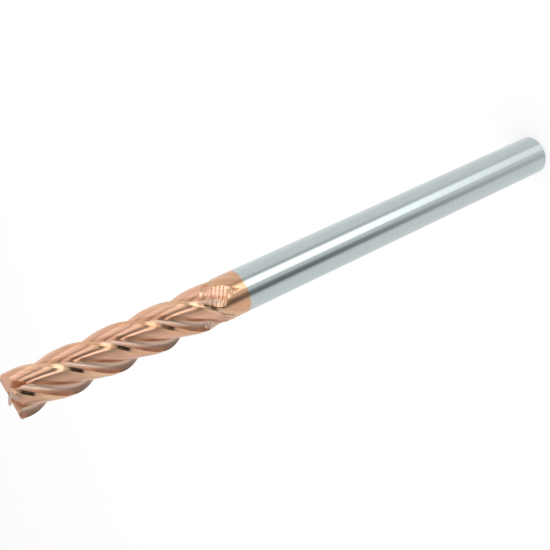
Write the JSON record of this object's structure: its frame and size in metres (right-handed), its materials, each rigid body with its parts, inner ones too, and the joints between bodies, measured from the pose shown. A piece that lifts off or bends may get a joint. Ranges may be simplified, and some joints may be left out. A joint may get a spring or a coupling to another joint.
{
  "type": "corner radius end mill",
  "caption": "Solid carbide corner radius end mill: plain round shank, helical flutes with relieved lands, end teeth with rounded corners, copper-coloured cutting end.",
  "frame": {"origin": "centre of the shank's end face, on which the tool stands", "axes": "+Z along the tool's axis from the shank end to the cutting end; +X along the end cutting edge of the first tooth at the tip"},
  "size_m": [0.01, 0.01, 0.15],
  "materials": {
    "carbide": "fine-ground bare tungsten carbide on the shank, copper-coloured hard coating over the neck and the cutting end"
  },
  "bodies": {
    "root": {"end_mill": "carbide"}
  },
  "joints": []
}
